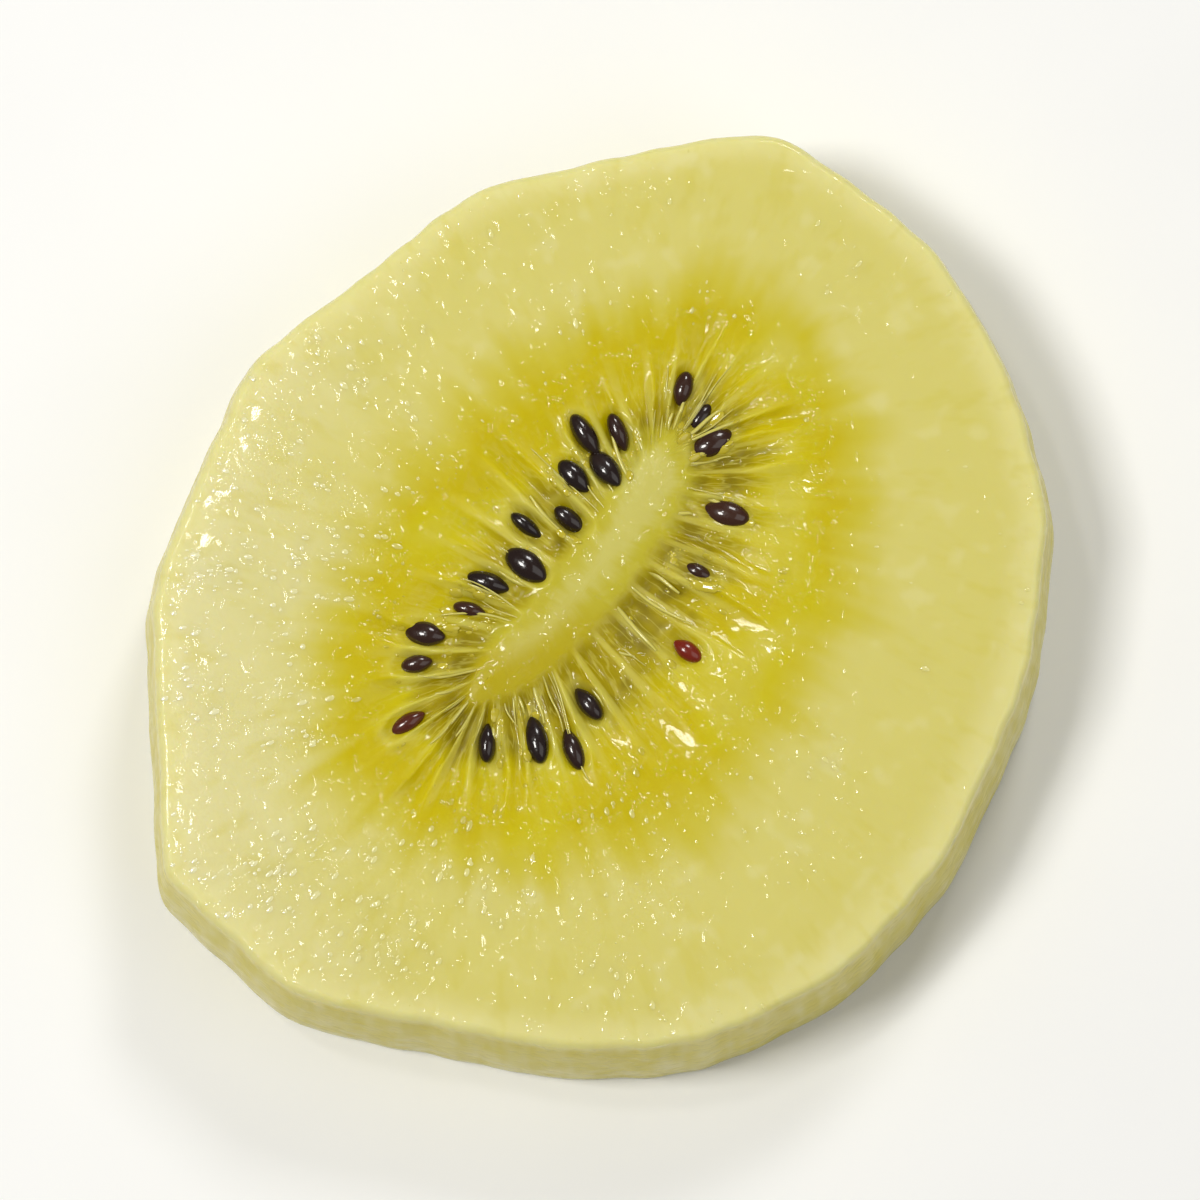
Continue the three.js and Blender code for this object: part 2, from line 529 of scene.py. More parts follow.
skinDivision = {
    "spokes": 576,
    # rings of the cut faces: from out, to out, how many
    "upper": [(0, 0.06, 6), (0.06, 0.5, 66), (0.5, 0.95, 25), (0.95, 1, 6)],
    "lower": [(1, 0.5, 12), (0.5, 0.06, 26), (0.06, 0, 4)],
    "edge": 7,
    "wall": 14,
    "wallFades": (0.1, 0.8),  # mm from an edge, between the looks of the cut and of the wall
}


def ringPlaces(stretches):
    places = [np.linspace(*stretch)[:-1] for stretch in stretches]
    return np.concatenate(places + [[stretches[-1][1]]])


def wallLevels():
    edge = 0.5 - 0.5 * np.cos(np.linspace(0, math.pi / 2, skinDivision["edge"])[1:])
    edge = edge * 2 * kiwi["edgeRound"] / kiwi["thickness"]
    between = np.linspace(edge[-1], 1 - edge[-1], skinDivision["wall"])[1:-1]
    return np.concatenate([edge, between, (1 - edge)[::-1]])


def fleshSkin():
    spokes = skinDivision["spokes"]
    bearing = coreTurn + fullTurn * np.arange(spokes) / spokes
    upperOuts = ringPlaces(skinDivision["upper"])
    rings = [upperRing(bearing, out) for out in upperOuts]
    rings += [wallRing(bearing, level) for level in wallLevels()]
    rings += [lowerRing(bearing, out) for out in ringPlaces(skinDivision["lower"])]
    x, y, z, out, wall, halo = (np.concatenate([ring[k] for ring in rings]) for k in range(6))
    x -= (x.max() + x.min()) / 2
    y -= (y.max() + y.min()) / 2
    start = np.arange(len(rings) - 1)[:, None] * spokes
    here = np.arange(spokes)[None, :]
    after = (here + 1) % spokes
    quads = np.stack([start + here, start + spokes + here, start + spokes + after, start + after], axis=-1)
    points = np.stack([x, y, z], axis=1) * mm
    skin = newObject("fleshSkin", points.tolist(), quads.reshape(-1, 4).tolist())
    # grain: the bearing's cosine and sine, and out
    around = np.tile(bearing, len(rings))
    addAttribute(skin, "grain", np.stack([np.cos(around), np.sin(around), out], axis=1), "FLOAT_VECTOR")
    addAttribute(skin, "wall", wall)
    addAttribute(skin, "halo", halo)
    upper = np.repeat([1.0] * len(upperOuts) + [0.0] * (len(rings) - len(upperOuts)), spokes)
    addAttribute(skin, "upper", upper)
    return skin


relief = {
    "fibreHeight": 0.09,
    "fibresAround": 17.0,  # radius of the ray pattern: larger makes finer fibres
    "fibresOutwards": 7.0,
    "fibreDetail": (3.0, 0.6),
    "fibresStart": (0.05, 0.12),
    "fibresEnd": (0.32, 0.6, 1.0, 0.08),  # the outer flesh keeps a trace of them
    "cellSize": 0.7,
    "cellHeight": 0.03,
    "strandWidth": 0.8,
    "strandHeight": 0.07,
    "strandStretch": 0.1,  # smaller is longer, from cut to cut
    "mergeWithin": 0.002,
}


def reliefTree():
    tree, source = newTree("fleshRelief", {
        "Fibre Height": 0.0,
        "Fibres Around": 15.0,
        "Cell Size": 0.001,
        "Cell Height": 0.0,
        "Strand Width": 0.001,
        "Strand Height": 0.0,
    })
    merged = node(tree, "GeometryNodeMergeByDistance",
                  {"Geometry": source["Geometry"], "Distance": relief["mergeWithin"] * mm})
    cosine, sine, out = split(tree, named(tree, "grain", "FLOAT_VECTOR"))
    around = source["Fibres Around"]
    ray = joined(tree, times(tree, cosine, around), times(tree, sine, around),
                 times(tree, out, relief["fibresOutwards"]))
    fibre = minus(tree, noise(tree, ray, 1.0, *relief["fibreDetail"]), 0.5)
    fibreArea = times(tree, softStep(tree, out, *relief["fibresStart"]),
                      softStep(tree, out, *relief["fibresEnd"]))
    fibreLift = times(tree, times(tree, fibre, fibreArea), source["Fibre Height"])
    place = position(tree)
    cells = node(tree, "ShaderNodeTexVoronoi", {
        "Vector": place,
        "Scale": maths(tree, "DIVIDE", 1.0, source["Cell Size"]),
    }).outputs["Distance"]
    cellLift = times(tree, minus(tree, 0.5, cells), source["Cell Height"])
    wall = named(tree, "wall")
    strands = noise(tree, scaled(tree, place, 1.0, 1.0, relief["strandStretch"]),
                    maths(tree, "DIVIDE", 1.0, source["Strand Width"]), 1.0)
    strandLift = times(tree, times(tree, minus(tree, strands, 0.5), wall), source["Strand Height"])
    cutLift = times(tree, cellLift, minus(tree, 1.0, wall))
    lift = plus(tree, plus(tree, fibreLift, strandLift), cutLift)
    normal = node(tree, "GeometryNodeInputNormal").outputs[0]
    offset = node(tree, "ShaderNodeVectorMath", {0: normal, "Scale": lift}, operation="SCALE").outputs[0]
    moved = node(tree, "GeometryNodeSetPosition", {"Geometry": merged.outputs[0], "Offset": offset})
    # nothing sinks into the table
    x, y, z = split(tree, position(tree))
    grounded = joined(tree, x, y, maths(tree, "MAXIMUM", z, 0.0))
    standing = node(tree, "GeometryNodeSetPosition", {"Geometry": moved.outputs[0], "Position": grounded})
    finishTree(tree, source, standing.outputs[0])
    return tree


fleshColours = {
    "coreHeart": linear(207, 199, 104),
    "core": linear(195, 184, 50),
    "coreDeep": linear(186, 168, 4),
    "coreEdge": linear(186, 171, 32),
    "pocket": linear(170, 152, 0),
    "pocketDeep": linear(120, 104, 0),
    "gold": linear(203, 185, 0),
    "paleGold": linear(206, 192, 14),
    "mist": linear(212, 204, 112),
    "turning": linear(208, 195, 60),
    "outer": linear(218, 209, 118),
    # painted light: the outer flesh on the left, paler where light from the pale ground shines through it
    "leftPaintedLight": linear(225, 218, 156),
    # rim: a painted highlight where the rounded edge catches the light, and also the colour of the pale
    # strands on the wall
    "rim": linear(230, 223, 154),
    "ray": linear(214, 203, 88),
    "wall": linear(214, 199, 54),
    "frost": linear(232, 227, 172),
}

# Noises that the colours are mixed by: the two kinds of rays follow the grain, the rest the place.
fleshGrain = {
    "fineRays": (17.0, 17.0, 7.0),
    "longRays": (11.0, 11.0, 1.6),
    "mottle": 620.0,
    "clouds": 150.0,
    "humps": 1350.0,
    "frayedByLong": 0.22,
    "frayedByClouds": 0.14,
    "leftDrift": 0.012,
}

# Each is a soft step: from, to, and where they aren't 0 and 1 the values there.
fleshSteps = {
    # by out, with borders that run in and out with the rays
    "coreToPocket": (0.05, 0.11),
    "deepStarts": (0.08, 0.13),
    "pocketToRing": (0.19, 0.29),
    "ringToTurning": (0.42, 0.54),
    "turningToOuter": (0.5, 0.66),
    "raysEnd": (0.18, 0.46, 1.0, 0.0),
    "outerStarts": (0.45, 0.7),
    # by out alone
    "bordersFray": (0.08, 0.35),
    "raysStart": (0.07, 0.11),
    # painted edge highlight: the cut faces turn paler towards the rim
    "rim": (0.88, 1.0, 0.0, 0.7),
    # by noise
    "goldPatches": (-0.45, 0.0),
    "mist": (-0.24, -0.1, 0.42, 0.0),
    "deepMottle": (0.44, 0.64, 0.0, 0.6),
    "mainRays": (0.6, 0.98),
    "threads": (0.0, 0.045, 1.0, 0.0),
    "seedFilm": (0.35, 0.6, 0.0, 0.45),
    "streaks": (0.5, 0.75, 0.0, 0.3),
    "flecks": (0.55, 0.75, 0.0, 0.25),
    "wallStrands": (0.3, 0.8, 0.0, 0.4),
    "humps": (0.48, 0.76),
    "roughness": (0.3, 0.7, 0.28, 0.45),
    # by place, in metres
    # where the painted paler left side of the outer flesh lies
    "leftness": (-0.0215, -0.008, 1.0, 0.0),
    "wetSide": (-0.014, 0.016, 0.62, 0.36),
}

goldRing = {
    "strongest": 50,  # the bearing where the gold is deepest
    "patchiness": 3.4,
    "sidedness": 0.28,
    "mistSidedness": 0.05,
}

paleRays = {
    "wobble": 2.6,
    "mainShare": 0.7,
    "threadShare": 0.45,
}

coreBar = {
    "straight": 6.0,  # mm: half of the core's straight stretch
    "heart": (0.0, 0.0012),
    "edge": (0.0011, 0.0023, 1.0, 0.0),
    "ragged": 0.0012,
    "thinner": (-0.001, 0.006, 0.0, -0.0005),  # towards its upper end
    "deepEnd": (-0.0075, -0.0025, 0.85, 0.0),
    "deepEndDrift": 0.012,
}

fleshFinish = {
    "Subsurface Weight": 0.5,
    "Subsurface Radius": (1.0, 0.85, 0.32),
    "Subsurface Scale": 0.0022,
    "IOR": 1.3,
    "Specular IOR Level": 0.3,
    "Coat Roughness": 0.07,
    "Coat IOR": 1.34,
}

wetness = {
    "coat": (0.78, 0.3),  # on a cut and on the wall
    "humpStrength": 0.8,
    "humpHeight": 0.00014,
    "ringEnds": (0.42, 0.6),  # out: in here the humps are at their highest
    "slant": 0.55,  # the wet side is at the left and lower left
    "grouping": 1.2,
}


def fleshField(tree):
    # all that the colours of the flesh are mixed by
    grain = meshAttribute(tree, "grain", "Vector")
    cosine, sine, out = split(tree, grain)
    place = objectPlace(tree)
    x, y, _ = split(tree, place)
    longRays = noise(tree, scaled(tree, grain, *fleshGrain["longRays"]), 1.0, 1.0, 0.55)
    clouds = noise(tree, place, fleshGrain["clouds"], 1.0, 0.5)
    field = {
        "out": out,
        "bearing": maths(tree, "ARCTAN2", sine, cosine),
        "place": place,
        "x": x,
        "y": y,
        "fineRays": noise(tree, scaled(tree, grain, *fleshGrain["fineRays"]), 1.0, 2.0, 0.6),
        "mottle": noise(tree, place, fleshGrain["mottle"], 1.0, 0.6),
        "offLong": minus(tree, longRays, 0.5),
        "offClouds": minus(tree, clouds, 0.5),
        "wall": meshAttribute(tree, "wall"),
    }
    frayed = plus(tree, times(tree, field["offLong"], fleshGrain["frayedByLong"]),
                  times(tree, field["offClouds"], fleshGrain["frayedByClouds"]))
    frayed = times(tree, frayed, softStep(tree, out, *fleshSteps["bordersFray"]))
    field["zone"] = plus(tree, out, frayed)
    return field


def ringColour(tree, field):
    # the golden ring is strong in patches, and weak towards the lower left
    fromStrongest = minus(tree, field["bearing"], math.radians(goldRing["strongest"]))
    towardsGold = maths(tree, "COSINE", fromStrongest)
    patches = plus(tree, times(tree, field["offClouds"], goldRing["patchiness"]),
                   times(tree, towardsGold, goldRing["sidedness"]))
    ring = blended(tree, softStep(tree, patches, *fleshSteps["goldPatches"]),
                   fleshColours["paleGold"], fleshColours["gold"])
    misty = plus(tree, field["offClouds"], times(tree, towardsGold, goldRing["mistSidedness"]))
    return blended(tree, softStep(tree, misty, *fleshSteps["mist"]), ring, fleshColours["mist"])


def zoneColours(tree, field):
    zone = field["zone"]

    def step(name):
        return softStep(tree, zone, *fleshSteps[name])

    colour = blended(tree, step("coreToPocket"), fleshColours["coreEdge"], fleshColours["pocket"])
    deep = times(tree, softStep(tree, field["mottle"], *fleshSteps["deepMottle"]), step("deepStarts"))
    colour = blended(tree, deep, colour, fleshColours["pocketDeep"])
    colour = blended(tree, step("pocketToRing"), colour, ringColour(tree, field))
    colour = blended(tree, step("ringToTurning"), colour, fleshColours["turning"])
    return blended(tree, step("turningToOuter"), colour, fleshColours["outer"])


def withRays(tree, field, colour):
    # pale rays between the seed pockets, and finer threads beside them
    phase = times(tree, minus(tree, field["bearing"], coreTurn), float(kiwi["pocketCount"]))
    wobble = times(tree, field["offLong"], paleRays["wobble"])
    between = times(tree, maths(tree, "COSINE", plus(tree, phase, wobble)), -1.0)
    mainRays = softStep(tree, between, *fleshSteps["mainRays"])
    fromThread = maths(tree, "ABSOLUTE", minus(tree, field["fineRays"], 0.5))
    threads = softStep(tree, fromThread, *fleshSteps["threads"])
    rayArea = times(tree, softStep(tree, field["out"], *fleshSteps["raysStart"]),
                    softStep(tree, field["zone"], *fleshSteps["raysEnd"]))
    rays = maths(tree, "MAXIMUM", times(tree, mainRays, paleRays["mainShare"]),
                 times(tree, threads, paleRays["threadShare"]))
    return blended(tree, times(tree, rays, rayArea), colour, fleshColours["ray"])


def withCore(tree, field, colour):
    # the core is a bent bar with soft round ends, paler along its middle and deeper at its lower end
    middle = shifted(*kiwi["coreMiddle"], 0.0)
    fromMiddle = node(tree, "ShaderNodeVectorMath", {0: field["place"], 1: middle}, operation="SUBTRACT")
    turned = node(tree, "ShaderNodeVectorRotate", {"Vector": fromMiddle.outputs[0], "Angle": -coreTurn},
                  rotation_type="Z_AXIS")
    along, across, _ = split(tree, turned.outputs[0])
    # its line bends as the shape's does
    bend = -kiwi["coreBow"] / mm / kiwi["coreHalfLength"] ** 2
    bent = times(tree, times(tree, along, along), bend)
    offLine = plus(tree, plus(tree, across, bent), kiwi["coreBow"] * mm)
    past = maths(tree, "MAXIMUM", minus(tree, maths(tree, "ABSOLUTE", along), coreBar["straight"] * mm), 0.0)
    fromBar = maths(tree, "SQRT", plus(tree, times(tree, past, past), times(tree, offLine, offLine)))
    ragged = minus(tree, plus(tree, field["mottle"], field["fineRays"]), 1.0)
    ragged = times(tree, ragged, coreBar["ragged"])
    bar = plus(tree, plus(tree, fromBar, ragged), softStep(tree, along, *coreBar["thinner"]))
    heart = blended(tree, softStep(tree, bar, *coreBar["heart"]),
                    fleshColours["coreHeart"], fleshColours["core"])
    downwards = plus(tree, along, times(tree, field["offClouds"], coreBar["deepEndDrift"]))
    heart = blended(tree, softStep(tree, downwards, *coreBar["deepEnd"]), heart, fleshColours["coreDeep"])
    return blended(tree, softStep(tree, bar, *coreBar["edge"]), colour, heart)


def withSeedFilm(tree, field, colour):
    film = times(tree, meshAttribute(tree, "halo"), softStep(tree, field["mottle"], *fleshSteps["seedFilm"]))
    return blended(tree, film, colour, fleshColours["ray"])


def withOuterFlesh(tree, field, colour):
    # painted light: paler on the left, where light from the pale ground shines through the flesh, and a
    # painted highlight along the rim; faintly streaked, with small milky flecks
    outer = softStep(tree, field["zone"], *fleshSteps["outerStarts"])
    drifting = plus(tree, field["x"], times(tree, field["offClouds"], fleshGrain["leftDrift"]))
    leftness = softStep(tree, drifting, *fleshSteps["leftness"])
    colour = blended(tree, times(tree, leftness, outer), colour, fleshColours["leftPaintedLight"])
    # painted highlight along the rim
    colour = blended(tree, softStep(tree, field["out"], *fleshSteps["rim"]), colour, fleshColours["rim"])
    streaks = times(tree, softStep(tree, field["fineRays"], *fleshSteps["streaks"]), outer)
    colour = blended(tree, streaks, colour, fleshColours["turning"])
    flecks = times(tree, softStep(tree, field["mottle"], *fleshSteps["flecks"]), outer)
    return blended(tree, flecks, colour, fleshColours["frost"])


def withWall(tree, field, colour):
    # strands run from cut to cut
    strands = noise(tree, scaled(tree, field["place"], 1.0, 1.0, relief["strandStretch"]),
                    1 / (relief["strandWidth"] * mm), 1.0)
    # the pale strands take the same colour as the painted rim highlight
    wallColour = blended(tree, softStep(tree, strands, *fleshSteps["wallStrands"]),
                         fleshColours["wall"], fleshColours["rim"])
    return blended(tree, field["wall"], colour, wallColour)


def wetHumps(tree, field):
    # the flesh is almost smooth, and the juice on it stands in small lone humps, in loose groups and
    # highest in the ring and towards the lower left
    humps = softStep(tree, noise(tree, field["place"], fleshGrain["humps"], 1.0, 0.6), *fleshSteps["humps"])
    leaning = plus(tree, field["x"], times(tree, field["y"], wetness["slant"]))
    outside = plus(tree, softStep(tree, leaning, *fleshSteps["wetSide"]),
                   times(tree, field["offClouds"], wetness["grouping"]))
    share = softStep(tree, plus(tree, field["out"], field["wall"]), *wetness["ringEnds"], 1.0, outside)
    wires = {"Strength": wetness["humpStrength"], "Distance": wetness["humpHeight"],
             "Height": times(tree, humps, share)}
    return node(tree, "ShaderNodeBump", wires).outputs[0]


def fleshMaterial():
    material, tree, skin = newMaterial("wetKiwiFlesh")
    field = fleshField(tree)
    colour = zoneColours(tree, field)
    for laidOver in (withRays, withCore, withSeedFilm, withOuterFlesh, withWall):
        colour = laidOver(tree, field, colour)
    coat = softStep(tree, field["wall"], 0.0, 1.0, *wetness["coat"])
    tree.links.new(colour, skin.inputs["Base Color"])
    tree.links.new(softStep(tree, field["mottle"], *fleshSteps["roughness"]), skin.inputs["Roughness"])
    tree.links.new(wetHumps(tree, field), skin.inputs["Coat Normal"])
    tree.links.new(coat, skin.inputs["Coat Weight"])
    finish(skin, fleshFinish)
    return material


skinObject = fleshSkin()
flesh = grownFrom(skinObject, reliefTree(), {
    "Fibre Height": relief["fibreHeight"] * mm,
    "Fibres Around": relief["fibresAround"],
    "Cell Size": relief["cellSize"] * mm,
    "Cell Height": relief["cellHeight"] * mm,
    "Strand Width": relief["strandWidth"] * mm,
    "Strand Height": relief["strandHeight"] * mm,
    "Material": fleshMaterial(),
}, "flesh")
print("flesh made:", len(flesh.data.polygons), "faces")


# Seeds

seedLook = {
    "dark": linear(22, 8, 5),
    "brown": linear(62, 30, 12),
    "red": linear(118, 26, 2),
    # painted sheen: a lighter brown laid into the seed colour in patches
    "sheen": linear(58, 34, 20),
    "darkTones": (0, 0.12),
    "brownPockets": {16: 0.78, 14: 0.5, 13: 0.3, 31: 0.6, 29: 0.4, 23: 0.2, 12: 0.55, 5: 0.3,
                     2: 0.45, 34: 0.4},
    "redPocket": 27,
    "sizeSpread": 0.28,
    "sizes": (-1, 0.6),  # more are smaller than larger
    "slimness": 0.34,  # the slimmest is this much narrower than the widest
    "tilts": (0.12, 0.1),
    "sunk": (0.04, 0.37),
    "drawSeed": 5,
    "blotches": 1800.0,
    # where the painted sheen shows, by the blotch noise
    "sheenShare": (0.5, 0.8, 0.0, 0.2),
    "roughness": (0.3, 0.7, 0.22, 0.38),
    "pits": 7000.0,
    "pitStrength": 0.25,
    "pitDepth": 0.00003,
}

seedFinish = {
    "Coat Weight": 1.0,
    "Coat Roughness": 0.06,
    "Coat IOR": 1.45,
    "Specular IOR Level": 0.2,
}


def seedMaterial():
    material, tree, coat = newMaterial("kiwiSeedCoat")
    place = objectPlace(tree)
    blotch = noise(tree, place, seedLook["blotches"], 3.0, 0.6)
    colour = ramp(tree, meshAttribute(tree, "tone"),
                  [(0.0, seedLook["dark"]), (0.7, seedLook["brown"]), (1.0, seedLook["red"])])
    # painted sheen over the seed colour in patches
    colour = blended(tree, softStep(tree, blotch, *seedLook["sheenShare"]), colour, seedLook["sheen"])
    pits = node(tree, "ShaderNodeTexVoronoi", {"Vector": place, "Scale": seedLook["pits"]})
    wires = {"Strength": seedLook["pitStrength"], "Distance": seedLook["pitDepth"],
             "Height": pits.outputs["Distance"]}
    tree.links.new(colour, coat.inputs["Base Color"])
    tree.links.new(node(tree, "ShaderNodeBump", wires).outputs[0], coat.inputs["Normal"])
    tree.links.new(softStep(tree, blotch, *seedLook["roughness"]), coat.inputs["Roughness"])
    finish(coat, seedFinish)
    return material


def seedTree():
    tree, source = newTree("seedRow", {
        "Half Length": 0.001,
        "Half Width": 0.001,
        "Half Height": 0.001,
        "Tip Narrowing": 0.0,
    })
    ball = node(tree, "GeometryNodeMeshUVSphere",
                {"Segments": seeds["segments"], "Rings": seeds["rings"], "Radius": 1.0})
    onSide = node(tree, "GeometryNodeTransform",
                  {"Geometry": ball.outputs[0], "Rotation": (0, math.pi / 2, 0)})
    x, y, z = split(tree, position(tree))
    # the tip points to the core (-x): narrower there, fullest a little outwards
    towardsTip = maths(tree, "MAXIMUM", times(tree, x, -1.0), 0.0)
    narrowing = times(tree, times(tree, towardsTip, towardsTip), source["Tip Narrowing"])
    narrowed = minus(tree, 1.0, narrowing)
    shaped = joined(tree, times(tree, x, source["Half Length"]),
                    times(tree, times(tree, y, narrowed), source["Half Width"]),
                    times(tree, times(tree, z, narrowed), source["Half Height"]))
    seed = node(tree, "GeometryNodeSetPosition", {"Geometry": onSide.outputs[0], "Position": shaped})
    row = node(tree, "GeometryNodeInstanceOnPoints", {
        "Points": source["Geometry"], "Instance": seed.outputs[0],
        "Rotation": named(tree, "turn", "FLOAT_VECTOR"), "Scale": named(tree, "size", "FLOAT_VECTOR")})
    finishTree(tree, source, row.outputs[0])
    return tree


def seedPoints():
    draw = np.random.default_rng(seedLook["drawSeed"])
    roll, pitch = seedLook["tilts"]
    points, turns, sizes, tones = [], [], [], []
    for seed in seedPlaces:
        tone = seedLook["brownPockets"].get(seed["pocket"], draw.uniform(*seedLook["darkTones"]))
        if seed["pocket"] == seedLook["redPocket"] and seed["upper"]:
            tone = 1.0
        sunk = draw.uniform(*seedLook["sunk"]) if seed["upper"] else 0
        points.append(shifted(seed["x"], seed["y"], seed["z"] - sunk))
        turns.append((draw.normal(0, roll), draw.normal(0, pitch), seed["turn"]))
        size = 1 + draw.uniform(*seedLook["sizes"]) * seedLook["sizeSpread"]
        sizes.append((size, size * (1 - draw.uniform(0, 1) * seedLook["slimness"]), size))
        tones.append(tone)
    holder = newObject("seedPoints", points)
    addAttribute(holder, "turn", turns, "FLOAT_VECTOR")
    addAttribute(holder, "size", sizes, "FLOAT_VECTOR")
    addAttribute(holder, "tone", tones)
    return holder


seedHolder = seedPoints()
seedsPiece = grownFrom(seedHolder, seedTree(), {
    "Half Length": seeds["halfLength"] * mm,
    "Half Width": seeds["halfWidth"] * mm,
    "Half Height": seeds["halfHeight"] * mm,
    "Tip Narrowing": seeds["tipNarrowing"],
    "Material": seedMaterial(),
}, "seeds")
print("seeds made:", len(seedPlaces))


# Filaments: thin pale strands that run outwards at the level of the cut, over the pockets

filaments = {
    "sides": 6,
    "extra": 26,  # besides one on each pocket wall
    "wallStray": 0.012,
    "wallThickness": (0.07, 0.14),
    "extraThickness": (0.03, 0.06),
    "startOut": (0.05, 0.085),
    "endOut": (0.22, 0.44),
    "lengths": (0.4, 1),
    "points": 18,
    "bend": 0.02,
    "curl": 0.006,
    "curls": (4, 9),
    "curlStart": (0, 6),
    "rootEnds": 0.1,
    "tipStarts": 0.85,
    "thinnest": 0.45,
    "plumpFrom": 0.08,
    "plumpSpan": 0.9,
    "sag": 0.2,  # a strand hangs this much below the cut at its middle
    "sagShare": (0.2, 1),
    "dive": 0.12,  # its ends go into the flesh
    "drawSeed": 21,
    "deep": linear(200, 186, 60),
    "pale": linear(222, 212, 118),
    "tint": 700.0,
}

filamentFinish = {
    "Roughness": 0.3,
    "Subsurface Weight": 0.3,
    "Subsurface Radius": fleshFinish["Subsurface Radius"],
    "Subsurface Scale": 0.0005,
    "Coat Weight": 0.6,
    "Coat Roughness": 0.1,
}


def filamentPaths():
    draw = np.random.default_rng(filaments["drawSeed"])
    walls = [(k + 0.5) * pocketTurn + draw.normal(0, filaments["wallStray"])
             for k in range(kiwi["pocketCount"])]
    strands = [(turn, filaments["wallThickness"]) for turn in walls]
    strands += [(draw.uniform(0, fullTurn), filaments["extraThickness"]) for _ in range(filaments["extra"])]
    points, edges, radii = [], [], []
    along = np.linspace(0, 1, filaments["points"])
    ends = softened(along, filaments["tipStarts"], 1) + 1 - softened(along, 0, filaments["rootEnds"])
    plump = np.sin(math.pi * np.clip(along * filaments["plumpSpan"] + filaments["plumpFrom"], 0, 1))
    plumpness = filaments["thinnest"] + (1 - filaments["thinnest"]) * plump
    for turn, thickness in strands:
        start = draw.uniform(*filaments["startOut"])
        share = draw.uniform(*filaments["lengths"])
        out = start + along * share * (draw.uniform(*filaments["endOut"]) - filaments["startOut"][1])
        bend = draw.normal(0, filaments["bend"]) * along ** 2
        curls = along * draw.uniform(*filaments["curls"]) + draw.uniform(*filaments["curlStart"])
        bend = bend + filaments["curl"] * np.sin(curls)
        bearing = coreTurn + turn + bend
        bearing = bearing - rayDrift(bearing, out)
        x, y = onRay(bearing, out, kiwi["rimTaper"])
        radius = draw.uniform(*thickness) * plumpness
        sag = filaments["sag"] * draw.uniform(*filaments["sagShare"]) * np.sin(math.pi * along)
        z = upperPlane(y) + upperRelief(out) - (sag + radius) - filaments["dive"] * ends
        first = len(points)
        points += [shifted(*point) for point in zip(x, y, z)]
        edges += [(first + k, first + k + 1) for k in range(len(along) - 1)]
        radii += list(radius * mm)
    holder = newObject("filamentPaths", points, edges=edges)
    addAttribute(holder, "thickness", radii)
    return holder


def filamentTree():
    tree, source = newTree("filamentStrands", {
        "Sides": 6,
    })
    path = node(tree, "GeometryNodeMeshToCurve", {"Mesh": source["Geometry"]})
    section = node(tree, "GeometryNodeCurvePrimitiveCircle", {"Resolution": source["Sides"], "Radius": 1.0})
    strand = node(tree, "GeometryNodeCurveToMesh", {
        "Curve": path.outputs[0], "Profile Curve": section.outputs[0],
        "Scale": named(tree, "thickness"), "Fill Caps": True})
    finishTree(tree, source, strand.outputs[0])
    return tree


def filamentMaterial():
    material, tree, strand = newMaterial("paleFilament")
    tint = noise(tree, objectPlace(tree), filaments["tint"], 2.0, 0.5)
    tree.links.new(blended(tree, tint, filaments["deep"], filaments["pale"]), strand.inputs["Base Color"])
    finish(strand, filamentFinish)
    return material


filamentHolder = filamentPaths()
filamentPiece = grownFrom(filamentHolder, filamentTree(), {
    "Sides": filaments["sides"],
    "Material": filamentMaterial(),
}, "filaments")
print("filaments made:", len(filamentPiece.data.polygons), "faces")


# Juice: shallow beads that sit on the cut and sparkle

juice = {
    "density": 4.4,  # beads on a square millimetre where they are thickest
    "besideSeeds": 2.6,  # the same round the seeds, as a share of that
    "besideClusters": (0.1, 0.6),
    "slant": 0.55,
    "wetSide": (-0.022, 0.012, 1.0, 0.1),  # thickest at the left and lower left, thin on the right
    "clusters": 300.0,
    "clusterShare": (0.45, 0.66, 0.06, 1.0),
    "outerFace": (0.3, 0.5),
    "ring": (0.08, 0.16, 0.0, 0.4),
    "smallest": 0.035,
    "largest": 0.18,
    "rarity": 3.0,  # higher makes large beads rarer
    "flatness": 0.3,  # they are sunk by half of this
    "roundest": 0.8,
    "stretch": 2.2,  # the longest are this much longer than wide, along the rays
    "swollen": 0.8,  # beads round the seeds are larger by this share
    "segments": 8,
    "rings": 6,
    "onRing": linear(196, 180, 44),
    "onOuter": linear(227, 219, 136),
    # painted light: beads on the left take the flesh's painted paler colour there
    "onPaintedLeft": linear(238, 233, 184),
    "outerStarts": (0.36, 0.56),
    "leftStarts": (0.4, 0.6),
    "drawSeed": 4,
}

juiceFinish = {
    "Roughness": 0.12,
    "IOR": 1.45,
    "Coat Weight": 1.0,
    "Coat Roughness": 0.1,
}


def juiceShare(tree, out, place):
    x, y, _ = split(tree, place)
    wetSide = softStep(tree, plus(tree, x, times(tree, y, juice["slant"])), *juice["wetSide"])
    clusters = softStep(tree, noise(tree, place, juice["clusters"], 2.0), *juice["clusterShare"])
    zone = plus(tree, softStep(tree, out, *juice["outerFace"]), softStep(tree, out, *juice["ring"]))
    overFace = times(tree, times(tree, wetSide, maths(tree, "MINIMUM", zone, 1.0)), clusters)
    return overFace, clusters


